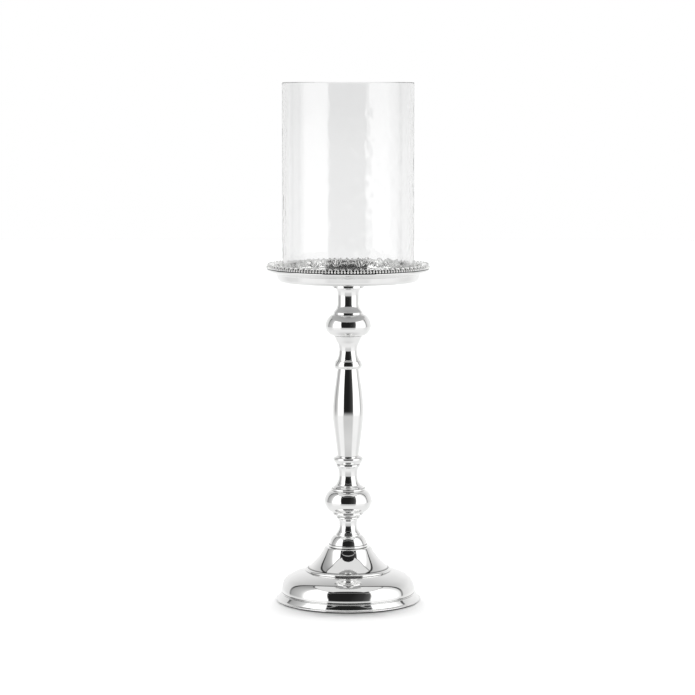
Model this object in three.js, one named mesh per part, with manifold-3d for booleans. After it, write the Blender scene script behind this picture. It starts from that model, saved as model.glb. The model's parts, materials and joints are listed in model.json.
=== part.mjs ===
// Turned candlestick with a glass hurricane shade.
// Millimetres, +Z up. The origin is on the axis, at the surface that the stick stands on.
import * as THREE from 'three';
import { mergeVertices } from 'three/addons/utils/BufferGeometryUtils.js';
import Module from 'manifold-3d';

// Fineness of the turned forms
const STEM_FACETS = 20;
const WIDE_FACETS = 40;
const CURVE_STEPS = 4;
const RING_STEPS = 2;
const HOLE_STEPS = 10;

// Clearances
const SEAM_GAP = 0.3; // between stacked or soldered pieces
const ROD_CLEARANCE = 0.4; // round the tie rod in plain bores
const THREAD_CLEARANCE = 0.2; // between the rod and the nuts
const SPIGOT_CLEARANCE = 0.3; // round a spigot in its socket
const SPIGOT_END_GAP = 0.4; // above a spigot in its socket
const WELL_CLEARANCE = 0.3; // inside and outside the well of the pan
const SLEEVE_CLEARANCE = 0.3; // round the sleeve of the pan nut
const SLEEVE_END_GAP = 0.8; // below the sleeve of the pan nut
const ROD_END_GAP = 0.5; // between the rod and the blind end of the pan nut
const SHADE_PLAY = 1; // between the shade and the rounded corner of the pan
const SHADE_SEAT_GAP = 0.3; // under the shade
const CANDLE_CLEARANCE = 15.5; // between the largest candle and the shade

// Tie rod and the spigots that line up the stem pieces
const ROD_RADIUS = 4;
const ROD_CHAMFER = 0.6;
const ROD_TAIL = 4; // what stands out of the nut inside the foot
const SPIGOT_WALL = 2.2;
const SPIGOT_HEIGHT = 3;

// Felt and board under the foot
const FELT_THICKNESS = 1.5;
const FELT_INSET = 1.8; // how far the felt stays inside the rim
const BOARD_THICKNESS = 3;

// Foot, a spun shell, measured from its crown outwards and from its rim upwards
const FOOT_SHEET = 1.4;
const FOOT_CROWN_LEDGE = 3.3; // flat ring left free round the cap
const FOOT_CONE_WIDTH = 18.9;
const FOOT_MOULDING_WIDTH = 2.3;
const FOOT_DOME_WIDTH = 25.6;
const FOOT_FLANGE_WIDTH = 6;
const FOOT_EDGE_RISE = 1.4;
const FOOT_FLANGE_RISE = 4.9;
const FOOT_WALL_RISE = 7.2;
const FOOT_DOME_RISE = 17;
const FOOT_MOULDING_RISE = 3.2;
const FOOT_CONE_RISE = 22.5;

// How the curves of the foot bend: where each draws to, as shares of its own width and rise
const FOOT_FLANGE_BEND = [0.42, 0.12];
const FOOT_SHOULDER_BEND = 0.42; // of the rise only
const FOOT_DOME_BEND = [0.45, 0.9];
const FOOT_CONE_BEND = [0.34, 0.42];

// Fastening inside the foot
const WASHER_RADIUS = 14;
const WASHER_THICKNESS = 2;
const SPRING_WASHER_WALL = 3;
const SPRING_WASHER_THICKNESS = 2;
const SPRING_WASHER_SLIT = 2;
const NUT_FLATS = 13;
const NUT_HEIGHT = 6.5;

// Cap on the cone of the foot
const CAP_RADIUS = 20.8;
const CAP_EDGE_HEIGHT = 2.5;
const CAP_SHOULDER_RADIUS = 16.4;
const CAP_SHOULDER_HEIGHT = 10.6;
const CAP_TOP_RADIUS = 12.9;
const CAP_HEIGHT = 13.2;
const CAP_BELL_BEND = [0.68, 0.62]; // shares of the bell's width and height that its curve draws to
const CAP_CROWN_BEND = 0.35; // share of the crown's width that rounds its edge

// Lower neck: a cove, then a ring under the knop
const LOWER_NECK_BASE_RADIUS = 12.5;
const LOWER_NECK_WAIST_RADIUS = 9.4;
const LOWER_NECK_WAIST_HEIGHT = 9;
const LOWER_NECK_TOP_RADIUS = 12.6;
const LOWER_NECK_TOP_HEIGHT = 19;
const LOWER_NECK_RING_RADIUS = 16.5;
const LOWER_NECK_HEIGHT = 23.5;
const LOWER_NECK_KNEES = [0.62, 0.4];
const LOWER_NECK_RING_BEND = 0.2; // share of the ring's height that rounds it below

// Lower knop
const LOWER_KNOP_BASE_RADIUS = 16.3;
const LOWER_KNOP_BELLY_RADIUS = 25.2;
const LOWER_KNOP_BELLY_HEIGHT = 11.4;
const LOWER_KNOP_TOP_RADIUS = 17.8;
const LOWER_KNOP_HEIGHT = 23;

// Roundness of both knops: how far their curve runs upright at the belly and level at its ends
const KNOP_UPRIGHT = 0.55;
const KNOP_LEVEL = 0.18;

// Waist spool: a foot ring, then a long cove
const WAIST_RING_RADIUS = 18.2;
const WAIST_RING_HEIGHT = 2;
const WAIST_RADIUS = 9.8;
const WAIST_HEIGHT = 15;
const WAIST_TOP_RADIUS = 11.6;
const WAIST_SPOOL_HEIGHT = 24.4;
const WAIST_KNEES = [0.3, 0.4];

// Cup under the baluster, with a bead at its base
const CUP_BEAD_RADIUS = 12.5;
const CUP_BEAD_HEIGHT = 3.4;
const CUP_RADIUS = 15.9;
const CUP_LIP_HEIGHT = 8.8;
const CUP_TOP_RADIUS = 13;
const CUP_HEIGHT = 11.9;
const CUP_BEAD_BEND = 0.5; // shares of the height of the bead, the bowl and the lip at which they turn
const CUP_BOWL_BEND = 0.4;
const CUP_LIP_BEND = 0.7;

// Baluster
const BALUSTER_BASE_RADIUS = 11.3;
const BALUSTER_BELLY_RADIUS = 16.25;
const BALUSTER_BELLY_START = 41;
const BALUSTER_BELLY_END = 58;
const BALUSTER_TOP_RADIUS = 11.2;
const BALUSTER_HEIGHT = 92.9;
const BALUSTER_RISE_BENDS = [0.25, 0.75]; // shares of the way up to the belly where its curve turns
const BALUSTER_FALL_BENDS = [0.2, 0.7]; // and of the way on from there to the top

// Collar on the baluster
const COLLAR_BASE_RADIUS = 13.2;
const COLLAR_RADIUS = 14.85;
const COLLAR_WIDEST_HEIGHT = 4.1;
const COLLAR_TOP_RADIUS = 13.6;
const COLLAR_HEIGHT = 7.3;
const COLLAR_BENDS = [0.3, 0.6]; // shares of the lower and the upper half at which it turns

// Upper spool: a cove with a ledge on top
const UPPER_SPOOL_BASE_RADIUS = 13.3;
const UPPER_SPOOL_WAIST_RADIUS = 9.5;
const UPPER_SPOOL_WAIST_HEIGHT = 12.4;
const UPPER_SPOOL_LEDGE_RADIUS = 15.3;
const UPPER_SPOOL_LEDGE_HEIGHT = 1.4;
const UPPER_SPOOL_HEIGHT = 27.1;
const UPPER_SPOOL_KNEES = [0.5, 0.46];

// Upper knop
const UPPER_KNOP_BASE_RADIUS = 15.4;
const UPPER_KNOP_BELLY_RADIUS = 24.1;
const UPPER_KNOP_BELLY_HEIGHT = 10.3;
const UPPER_KNOP_TOP_RADIUS = 16.4;
const UPPER_KNOP_HEIGHT = 22.3;

// Capital under the pan: a cove, a ring on it, and a plain neck
const CAPITAL_BASE_RADIUS = 15.7;
const CAPITAL_EDGE_HEIGHT = 1.8;
const CAPITAL_WAIST_RADIUS = 11.25;
const CAPITAL_WAIST_HEIGHT = 16.5;
const CAPITAL_FLARE_RADIUS = 14.6;
const CAPITAL_RING_RADIUS = 16.4;
const CAPITAL_RING_SEAT = 28.8;
const CAPITAL_RING_HEIGHT = 2.6;
const CAPITAL_NECK_RADIUS = 15.2;
const CAPITAL_HEIGHT = 34.8;
const CAPITAL_KNEES = [0.6, 0.45];

// Glass shade
const SHADE_RADIUS = 69.5;
const SHADE_WALL = 4;
const SHADE_HEIGHT = 206.6;

// Pan, a spun dish with a sloping flange
const PAN_SHEET = 2;
const PAN_CORNER_WIDTH = 4.5;
const PAN_CORNER_HEIGHT = 4;
const PAN_WALL_RISE = 4; // leaning part of the wall, above the corner
const PAN_WALL_LEAN = 0.9; // how far it leans out
const FLANGE_WIDTH = 10;
const FLANGE_RISE = 3.7;

// Relief border and bead rim, measured along the slope of the flange and square to it
const BORDER_INSET = 0.6;
const BORDER_THICKNESS = 4;
const BORDER_EDGE = 1.2;
const BORDER_CREST = 0.75; // share of its width where it is thickest
const BEAD_RIM_WIDTH = 3;
const BEAD_RIM_HEIGHT = 5.6;
const BEAD_RIM_OVERHANG = 1.4;

// Nut that clamps the pan, sunk into a well in its floor
const PAN_NUT_RADIUS = 8.5;
const PAN_NUT_HEAD = 3.2;
const PAN_NUT_SUNK = 0.3; // how far the head stays below the floor
const PAN_NUT_EDGE = 0.8; // rounding of the head
const PAN_NUT_SLEEVE_WALL = 2.2;
const PAN_NUT_SLEEVE_LENGTH = 12;
const PAN_NUT_ROOF = 0.3; // how far the blind hole reaches into the head
const PAN_NUT_KEY_FLATS = 6;
const PAN_NUT_KEY_DEPTH = 1.7;

// Nuts and their keys have six sides
const HEX_SIDES = 6;

// Radii that the sizes above give
const BORE_RADIUS = ROD_RADIUS + ROD_CLEARANCE;
const THREAD_RADIUS = ROD_RADIUS + THREAD_CLEARANCE;
const SPIGOT_RADIUS = BORE_RADIUS + SPIGOT_WALL;
const SOCKET_RADIUS = SPIGOT_RADIUS + SPIGOT_CLEARANCE;
const SOCKET_DEPTH = SPIGOT_HEIGHT + SPIGOT_END_GAP;
const SLEEVE_RADIUS = THREAD_RADIUS + PAN_NUT_SLEEVE_WALL;
const SLEEVE_HOLE_RADIUS = SLEEVE_RADIUS + SLEEVE_CLEARANCE;
const WELL_RADIUS = PAN_NUT_RADIUS + WELL_CLEARANCE + PAN_SHEET;
const WELL_DEPTH = PAN_NUT_HEAD + PAN_NUT_SUNK + SEAM_GAP;
const WELL_SEAT_RADIUS = WELL_RADIUS + WELL_CLEARANCE;
const SLEEVE_HOLE_DEPTH = WELL_DEPTH + PAN_NUT_SLEEVE_LENGTH - PAN_SHEET + SLEEVE_END_GAP;
const FOOT_CROWN_RADIUS = CAP_RADIUS + FOOT_CROWN_LEDGE;
const FOOT_CONE_RADIUS = FOOT_CROWN_RADIUS + FOOT_CONE_WIDTH;
const FOOT_MOULDING_RADIUS = FOOT_CONE_RADIUS + FOOT_MOULDING_WIDTH;
const FOOT_WALL_RADIUS = FOOT_MOULDING_RADIUS + FOOT_DOME_WIDTH;
const FOOT_RIM_RADIUS = FOOT_WALL_RADIUS + FOOT_FLANGE_WIDTH;
const FOOT_STEP_HEIGHT = FOOT_EDGE_RISE + FOOT_FLANGE_RISE;
const FOOT_SHOULDER_HEIGHT = FOOT_STEP_HEIGHT + FOOT_WALL_RISE;
const FOOT_DOME_HEIGHT = FOOT_SHOULDER_HEIGHT + FOOT_DOME_RISE;
const FOOT_CONE_HEIGHT = FOOT_DOME_HEIGHT + FOOT_MOULDING_RISE;
const FOOT_HEIGHT = FOOT_CONE_HEIGHT + FOOT_CONE_RISE;
const CANDLE_SEAT_RADIUS = SHADE_RADIUS - SHADE_WALL - CANDLE_CLEARANCE;
const PAN_FLOOR_RADIUS = SHADE_RADIUS + SHADE_PLAY;
const PAN_CORNER_RADIUS = PAN_FLOOR_RADIUS + PAN_CORNER_WIDTH;
const PAN_WALL_RADIUS = PAN_CORNER_RADIUS + PAN_WALL_LEAN;
const PAN_WALL_HEIGHT = PAN_CORNER_HEIGHT + PAN_WALL_RISE;

const wasm = await Module();
wasm.setup();

const silver = new THREE.MeshStandardMaterial({ color: 0xdcdddd, roughness: 0.08, metalness: 1 });
const darkSilver = new THREE.MeshStandardMaterial({ color: 0xa9aaab, roughness: 0.22, metalness: 1 });
const steel = new THREE.MeshStandardMaterial({ color: 0x9a9c9e, roughness: 0.35, metalness: 1 });
const felt = new THREE.MeshStandardMaterial({ color: 0x1f1f20, roughness: 0.95, metalness: 0 });
const board = new THREE.MeshStandardMaterial({ color: 0x8a6f4d, roughness: 0.85, metalness: 0 });
const glass = new THREE.MeshStandardMaterial({
  color: 0xf3f6f6,
  roughness: 0.03,
  metalness: 0,
  transparent: true,
  opacity: 0.25,
});

// A half-section given as points of radius and height, turned once round the Z axis
function turn(points, facets) {
  const geometry = new THREE.LatheGeometry([...points, points[0]], facets);
  return geometry.rotateX(Math.PI / 2);
}

// The inner face of a sheet whose outer face is the given outline
function innerFace(outline, sheet) {
  const normals = outline.slice(1).map((point, i) => {
    const along = point.clone().sub(outline[i]).normalize();
    return new THREE.Vector2(along.y, -along.x);
  });
  return outline.map((point, i) => {
    const before = normals[Math.max(i - 1, 0)];
    const after = normals[Math.min(i, normals.length - 1)];
    const miter = before.clone().add(after).divideScalar(1 + before.dot(after));
    return point.clone().addScaledVector(miter, -sheet);
  });
}

// A spun shell: the outer outline, and the same outline one sheet further in
function spunShell(outline, sheet) {
  return turn([...outline, ...innerFace(outline, sheet).reverse()], WIDE_FACETS);
}

// A value between two others, at a share of the way
const between = THREE.MathUtils.lerp;

// One step of an outline that hollows in to a waist and comes out again to an end, each given as
// radius and height. The knees say how far up each half the outline turns upright, as a share of it.
function cove(path, { waist, end, knees }) {
  const lowerKnee = between(path.currentPoint.y, waist[1], knees[0]);
  const upperKnee = between(waist[1], end[1], knees[1]);
  path.quadraticCurveTo(waist[0], lowerKnee, ...waist);
  path.quadraticCurveTo(waist[0], upperKnee, ...end);
}

// One step of an outline that swells to a belly and draws in again to an end, as a flattened ball
// does.
function swell(path, { belly, end }) {
  const start = path.currentPoint.clone();
  path.bezierCurveTo(
    between(start.x, belly[0], KNOP_LEVEL), start.y,
    belly[0], between(belly[1], start.y, KNOP_UPRIGHT),
    ...belly,
  );
  path.bezierCurveTo(
    belly[0], between(belly[1], end[1], KNOP_UPRIGHT),
    between(end[0], belly[0], KNOP_LEVEL), end[1],
    ...end,
  );
}

// A stem piece: its outer outline from the bottom to the top, bored for the rod, with a socket
// below and a spigot above. The lowest piece has no socket, and the highest has the seat of the
// pan and its nut in place of a spigot.
function stemPiece(outer, { socket = true, spigot = true } = {}) {
  const outline = outer.getPoints(CURVE_STEPS);
  const top = outline[outline.length - 1].y;
  const below = socket
    ? [[BORE_RADIUS, SOCKET_DEPTH], [SOCKET_RADIUS, SOCKET_DEPTH], [SOCKET_RADIUS, 0]]
    : [[BORE_RADIUS, 0]];
  const above = spigot
    ? [[SPIGOT_RADIUS, top], [SPIGOT_RADIUS, top + SPIGOT_HEIGHT], [BORE_RADIUS, top + SPIGOT_HEIGHT]]
    : [
        [WELL_SEAT_RADIUS, top],
        [WELL_SEAT_RADIUS, top - WELL_DEPTH],
        [SLEEVE_HOLE_RADIUS, top - WELL_DEPTH],
        [SLEEVE_HOLE_RADIUS, top - SLEEVE_HOLE_DEPTH],
        [BORE_RADIUS, top - SLEEVE_HOLE_DEPTH],
      ];
  const corner = ([radius, height]) => new THREE.Vector2(radius, height);
  return turn([...below.map(corner), ...outline, ...above.map(corner)], STEM_FACETS);
}

// A flat round plate, with or without a hole
function plate(radius, thickness, hole = 0) {
  const corners = [[hole, 0], [radius, 0], [radius, thickness], [hole, thickness]];
  const points = corners.map(([x, y]) => new THREE.Vector2(x, y));
  if (hole > 0) return turn(points, WIDE_FACETS);
  return new THREE.LatheGeometry(points, WIDE_FACETS).rotateX(Math.PI / 2);
}

// From flat to flat of a hexagon to the radius of its corners
function hexCornerRadius(flats) {
  return flats / 2 / Math.cos(Math.PI / HEX_SIDES);
}

function solidOf(geometry) {
  const bare = geometry.clone();
  bare.deleteAttribute('normal');
  bare.deleteAttribute('uv');
  const merged = mergeVertices(bare);
  const vertProperties = merged.attributes.position.array;
  const triVerts = new Uint32Array(merged.index.array);
  return new wasm.Manifold(new wasm.Mesh({ numProp: 3, vertProperties, triVerts }));
}

function cut(geometry, tool) {
  const mesh = solidOf(geometry).subtract(solidOf(tool)).getMesh();
  const result = new THREE.BufferGeometry();
  result.setAttribute('position', new THREE.BufferAttribute(mesh.vertProperties, 3));
  result.setIndex(new THREE.BufferAttribute(mesh.triVerts, 1));
  result.computeVertexNormals();
  return result;
}

function footShell() {
  const outer = new THREE.Path();
  outer.moveTo(FOOT_RIM_RADIUS, 0);
  outer.lineTo(FOOT_RIM_RADIUS, FOOT_EDGE_RISE);
  outer.quadraticCurveTo(
    FOOT_WALL_RADIUS + FOOT_FLANGE_BEND[0] * FOOT_FLANGE_WIDTH,
    FOOT_EDGE_RISE + FOOT_FLANGE_BEND[1] * FOOT_FLANGE_RISE,
    FOOT_WALL_RADIUS, FOOT_STEP_HEIGHT,
  );
  outer.lineTo(FOOT_WALL_RADIUS, FOOT_SHOULDER_HEIGHT);
  outer.bezierCurveTo(
    FOOT_WALL_RADIUS, FOOT_SHOULDER_HEIGHT + FOOT_SHOULDER_BEND * FOOT_DOME_RISE,
    FOOT_MOULDING_RADIUS + FOOT_DOME_BEND[0] * FOOT_DOME_WIDTH,
    FOOT_SHOULDER_HEIGHT + FOOT_DOME_BEND[1] * FOOT_DOME_RISE,
    FOOT_MOULDING_RADIUS, FOOT_DOME_HEIGHT,
  );
  outer.quadraticCurveTo(FOOT_MOULDING_RADIUS, FOOT_CONE_HEIGHT, FOOT_CONE_RADIUS, FOOT_CONE_HEIGHT);
  outer.quadraticCurveTo(
    FOOT_CROWN_RADIUS + FOOT_CONE_BEND[0] * FOOT_CONE_WIDTH,
    FOOT_CONE_HEIGHT + FOOT_CONE_BEND[1] * FOOT_CONE_RISE,
    FOOT_CROWN_RADIUS, FOOT_HEIGHT,
  );
  outer.lineTo(BORE_RADIUS, FOOT_HEIGHT);
  return spunShell(outer.getPoints(CURVE_STEPS), FOOT_SHEET);
}

function footCap() {
  const outer = new THREE.Path();
  outer.moveTo(CAP_RADIUS, 0);
  outer.lineTo(CAP_RADIUS, CAP_EDGE_HEIGHT);
  outer.quadraticCurveTo(
    between(CAP_SHOULDER_RADIUS, CAP_RADIUS, CAP_BELL_BEND[0]), CAP_BELL_BEND[1] * CAP_SHOULDER_HEIGHT,
    CAP_SHOULDER_RADIUS, CAP_SHOULDER_HEIGHT,
  );
  outer.quadraticCurveTo(
    between(CAP_SHOULDER_RADIUS, CAP_TOP_RADIUS, CAP_CROWN_BEND), CAP_HEIGHT,
    CAP_TOP_RADIUS, CAP_HEIGHT,
  );
  return stemPiece(outer, { socket: false });
}

function lowerNeck() {
  const outer = new THREE.Path();
  outer.moveTo(LOWER_NECK_BASE_RADIUS, 0);
  cove(outer, {
    waist: [LOWER_NECK_WAIST_RADIUS, LOWER_NECK_WAIST_HEIGHT],
    end: [LOWER_NECK_TOP_RADIUS, LOWER_NECK_TOP_HEIGHT],
    knees: LOWER_NECK_KNEES,
  });
  outer.quadraticCurveTo(
    LOWER_NECK_RING_RADIUS,
    between(LOWER_NECK_TOP_HEIGHT, LOWER_NECK_HEIGHT, LOWER_NECK_RING_BEND),
    LOWER_NECK_RING_RADIUS, LOWER_NECK_HEIGHT,
  );
  return stemPiece(outer);
}

function lowerKnop() {
  const outer = new THREE.Path();
  outer.moveTo(LOWER_KNOP_BASE_RADIUS, 0);
  swell(outer, {
    belly: [LOWER_KNOP_BELLY_RADIUS, LOWER_KNOP_BELLY_HEIGHT],
    end: [LOWER_KNOP_TOP_RADIUS, LOWER_KNOP_HEIGHT],
  });
  return stemPiece(outer);
}

function waistSpool() {
  const outer = new THREE.Path();
  outer.moveTo(WAIST_RING_RADIUS, 0);
  outer.lineTo(WAIST_RING_RADIUS, WAIST_RING_HEIGHT);
  cove(outer, {
    waist: [WAIST_RADIUS, WAIST_HEIGHT],
    end: [WAIST_TOP_RADIUS, WAIST_SPOOL_HEIGHT],
    knees: WAIST_KNEES,
  });
  return stemPiece(outer);
}

function balusterCup() {
  const outer = new THREE.Path();
  outer.moveTo(WAIST_TOP_RADIUS, 0);
  outer.quadraticCurveTo(
    CUP_BEAD_RADIUS, CUP_BEAD_BEND * CUP_BEAD_HEIGHT,
    CUP_BEAD_RADIUS, CUP_BEAD_HEIGHT,
  );
  outer.quadraticCurveTo(
    CUP_RADIUS, between(CUP_BEAD_HEIGHT, CUP_LIP_HEIGHT, CUP_BOWL_BEND),
    CUP_RADIUS, CUP_LIP_HEIGHT,
  );
  outer.quadraticCurveTo(
    CUP_RADIUS, between(CUP_LIP_HEIGHT, CUP_HEIGHT, CUP_LIP_BEND),
    CUP_TOP_RADIUS, CUP_HEIGHT,
  );
  return stemPiece(outer);
}

function baluster() {
  const outer = new THREE.Path();
  outer.moveTo(BALUSTER_BASE_RADIUS, 0);
  outer.bezierCurveTo(
    BALUSTER_BASE_RADIUS, BALUSTER_RISE_BENDS[0] * BALUSTER_BELLY_START,
    BALUSTER_BELLY_RADIUS, BALUSTER_RISE_BENDS[1] * BALUSTER_BELLY_START,
    BALUSTER_BELLY_RADIUS, BALUSTER_BELLY_START,
  );
  outer.lineTo(BALUSTER_BELLY_RADIUS, BALUSTER_BELLY_END);
  outer.bezierCurveTo(
    BALUSTER_BELLY_RADIUS, between(BALUSTER_BELLY_END, BALUSTER_HEIGHT, BALUSTER_FALL_BENDS[0]),
    BALUSTER_TOP_RADIUS, between(BALUSTER_BELLY_END, BALUSTER_HEIGHT, BALUSTER_FALL_BENDS[1]),
    BALUSTER_TOP_RADIUS, BALUSTER_HEIGHT,
  );
  return stemPiece(outer);
}

function balusterCollar() {
  const outer = new THREE.Path();
  outer.moveTo(COLLAR_BASE_RADIUS, 0);
  outer.quadraticCurveTo(
    COLLAR_RADIUS, COLLAR_BENDS[0] * COLLAR_WIDEST_HEIGHT,
    COLLAR_RADIUS, COLLAR_WIDEST_HEIGHT,
  );
  outer.quadraticCurveTo(
    COLLAR_RADIUS, between(COLLAR_WIDEST_HEIGHT, COLLAR_HEIGHT, COLLAR_BENDS[1]),
    COLLAR_TOP_RADIUS, COLLAR_HEIGHT,
  );
  return stemPiece(outer);
}

function upperSpool() {
  const ledge = UPPER_SPOOL_HEIGHT - UPPER_SPOOL_LEDGE_HEIGHT;
  const outer = new THREE.Path();
  outer.moveTo(UPPER_SPOOL_BASE_RADIUS, 0);
  cove(outer, {
    waist: [UPPER_SPOOL_WAIST_RADIUS, UPPER_SPOOL_WAIST_HEIGHT],
    end: [UPPER_SPOOL_LEDGE_RADIUS, ledge],
    knees: UPPER_SPOOL_KNEES,
  });
  outer.lineTo(UPPER_SPOOL_LEDGE_RADIUS, UPPER_SPOOL_HEIGHT);
  return stemPiece(outer);
}

function upperKnop() {
  const outer = new THREE.Path();
  outer.moveTo(UPPER_KNOP_BASE_RADIUS, 0);
  swell(outer, {
    belly: [UPPER_KNOP_BELLY_RADIUS, UPPER_KNOP_BELLY_HEIGHT],
    end: [UPPER_KNOP_TOP_RADIUS, UPPER_KNOP_HEIGHT],
  });
  return stemPiece(outer);
}

function capital() {
  const outer = new THREE.Path();
  outer.moveTo(CAPITAL_BASE_RADIUS, 0);
  outer.lineTo(CAPITAL_BASE_RADIUS, CAPITAL_EDGE_HEIGHT);
  cove(outer, {
    waist: [CAPITAL_WAIST_RADIUS, CAPITAL_WAIST_HEIGHT],
    end: [CAPITAL_FLARE_RADIUS, CAPITAL_RING_SEAT],
    knees: CAPITAL_KNEES,
  });
  outer.lineTo(CAPITAL_RING_RADIUS, CAPITAL_RING_SEAT);
  outer.lineTo(CAPITAL_RING_RADIUS, CAPITAL_RING_SEAT + CAPITAL_RING_HEIGHT);
  outer.lineTo(CAPITAL_NECK_RADIUS, CAPITAL_RING_SEAT + CAPITAL_RING_HEIGHT);
  outer.lineTo(CAPITAL_NECK_RADIUS, CAPITAL_HEIGHT);
  return stemPiece(outer, { spigot: false });
}

// A point on the upper face of the flange, along its slope from the wall and square to it
function flangePoint(along, above) {
  const slope = new THREE.Vector2(FLANGE_WIDTH, FLANGE_RISE).normalize();
  const up = new THREE.Vector2(-slope.y, slope.x);
  return new THREE.Vector2(PAN_WALL_RADIUS, PAN_WALL_HEIGHT)
    .addScaledVector(slope, along)
    .addScaledVector(up, PAN_SHEET + above);
}

const FLANGE_LENGTH = Math.hypot(FLANGE_WIDTH, FLANGE_RISE);

// The floor is flat, with an edge in it where the seat of the largest candle ends
function panShell() {
  const underside = new THREE.Path();
  underside.moveTo(SLEEVE_HOLE_RADIUS, -WELL_DEPTH);
  underside.lineTo(WELL_RADIUS, -WELL_DEPTH);
  underside.lineTo(WELL_RADIUS, 0);
  underside.lineTo(CANDLE_SEAT_RADIUS, 0);
  underside.lineTo(PAN_FLOOR_RADIUS, 0);
  underside.quadraticCurveTo(PAN_CORNER_RADIUS - PAN_WALL_LEAN, 0, PAN_CORNER_RADIUS, PAN_CORNER_HEIGHT);
  underside.lineTo(PAN_WALL_RADIUS, PAN_WALL_HEIGHT);
  underside.lineTo(PAN_WALL_RADIUS + FLANGE_WIDTH, PAN_WALL_HEIGHT + FLANGE_RISE);
  return spunShell(underside.getPoints(CURVE_STEPS), PAN_SHEET);
}

function reliefBorder() {
  const end = FLANGE_LENGTH - BEAD_RIM_WIDTH - SEAM_GAP;
  const crest = between(BORDER_INSET, end, BORDER_CREST);
  const top = flangePoint(crest, SEAM_GAP + BORDER_THICKNESS);
  const innerEdge = flangePoint(BORDER_INSET, SEAM_GAP + BORDER_EDGE);
  const section = new THREE.Path();
  const corner = (point) => section.lineTo(point.x, point.y);
  section.currentPoint.copy(flangePoint(BORDER_INSET, SEAM_GAP));
  corner(flangePoint(end, SEAM_GAP));
  corner(flangePoint(end, SEAM_GAP + BORDER_EDGE));
  section.splineThru([top, innerEdge]);
  return turn(section.getPoints(RING_STEPS), WIDE_FACETS);
}

function beadRim() {
  const inner = flangePoint(FLANGE_LENGTH - BEAD_RIM_WIDTH, SEAM_GAP);
  const outer = flangePoint(FLANGE_LENGTH, SEAM_GAP);
  const proud = outer.x + BEAD_RIM_OVERHANG;
  const top = outer.y + BEAD_RIM_HEIGHT;
  const section = new THREE.Path();
  section.moveTo(inner.x, inner.y);
  section.lineTo(outer.x, outer.y);
  section.quadraticCurveTo(proud, outer.y, proud, outer.y + BEAD_RIM_HEIGHT / 2);
  section.quadraticCurveTo(proud, top, (inner.x + outer.x) / 2, top);
  section.quadraticCurveTo(inner.x, top, inner.x, inner.y + BEAD_RIM_HEIGHT / 2);
  return turn(section.getPoints(RING_STEPS), WIDE_FACETS);
}

function panNut() {
  const sleeveEnd = -PAN_NUT_SLEEVE_LENGTH;
  const section = new THREE.Path();
  section.moveTo(0, PAN_NUT_ROOF);
  section.lineTo(THREAD_RADIUS, PAN_NUT_ROOF);
  section.lineTo(THREAD_RADIUS, sleeveEnd);
  section.lineTo(SLEEVE_RADIUS, sleeveEnd);
  section.lineTo(SLEEVE_RADIUS, 0);
  section.lineTo(PAN_NUT_RADIUS, 0);
  section.lineTo(PAN_NUT_RADIUS, PAN_NUT_HEAD - PAN_NUT_EDGE);
  section.quadraticCurveTo(PAN_NUT_RADIUS, PAN_NUT_HEAD, PAN_NUT_RADIUS - PAN_NUT_EDGE, PAN_NUT_HEAD);
  section.lineTo(0, PAN_NUT_HEAD);
  const body = new THREE.LatheGeometry(section.getPoints(CURVE_STEPS), STEM_FACETS).rotateX(Math.PI / 2);
  const keyRadius = hexCornerRadius(PAN_NUT_KEY_FLATS);
  const key = new THREE.CylinderGeometry(keyRadius, keyRadius, 2 * PAN_NUT_KEY_DEPTH, HEX_SIDES);
  return cut(body, key.rotateX(Math.PI / 2).translate(0, 0, PAN_NUT_HEAD));
}

function glassShade() {
  const inner = SHADE_RADIUS - SHADE_WALL;
  const rim = SHADE_HEIGHT - SHADE_WALL / 2;
  const section = new THREE.Path();
  section.moveTo(inner, 0);
  section.lineTo(SHADE_RADIUS, 0);
  section.lineTo(SHADE_RADIUS, rim);
  section.absarc((inner + SHADE_RADIUS) / 2, rim, SHADE_WALL / 2, 0, Math.PI);
  return turn(section.getPoints(CURVE_STEPS), WIDE_FACETS);
}

function tieRod(length) {
  const section = new THREE.Path();
  section.moveTo(0, 0);
  section.lineTo(ROD_RADIUS - ROD_CHAMFER, 0);
  section.lineTo(ROD_RADIUS, ROD_CHAMFER);
  section.lineTo(ROD_RADIUS, length - ROD_CHAMFER);
  section.lineTo(ROD_RADIUS - ROD_CHAMFER, length);
  section.lineTo(0, length);
  return new THREE.LatheGeometry(section.getPoints(), STEM_FACETS).rotateX(Math.PI / 2);
}

function hexNut() {
  const corners = Array.from({ length: HEX_SIDES }, (unused, i) => {
    const angle = (2 * Math.PI * i) / HEX_SIDES;
    return new THREE.Vector2(Math.cos(angle), Math.sin(angle)).multiplyScalar(hexCornerRadius(NUT_FLATS));
  });
  const shape = new THREE.Shape(corners);
  shape.holes.push(new THREE.Path().absarc(0, 0, THREAD_RADIUS, 0, 2 * Math.PI, true));
  return new THREE.ExtrudeGeometry(shape, {
    depth: NUT_HEIGHT,
    bevelEnabled: false,
    curveSegments: HOLE_STEPS,
  });
}

function springWasher() {
  const outer = BORE_RADIUS + SPRING_WASHER_WALL;
  const outerSlit = SPRING_WASHER_SLIT / 2 / outer;
  const innerSlit = SPRING_WASHER_SLIT / 2 / BORE_RADIUS;
  const shape = new THREE.Shape();
  shape.absarc(0, 0, outer, outerSlit, 2 * Math.PI - outerSlit, false);
  shape.absarc(0, 0, BORE_RADIUS, 2 * Math.PI - innerSlit, innerSlit, true);
  return new THREE.ExtrudeGeometry(shape, {
    depth: SPRING_WASHER_THICKNESS,
    bevelEnabled: false,
    curveSegments: HOLE_STEPS,
  });
}

const candlestick = new THREE.Group();

function place(name, geometry, material, height) {
  const mesh = new THREE.Mesh(geometry, material);
  mesh.name = name;
  mesh.position.z = height;
  candlestick.add(mesh);
}

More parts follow.
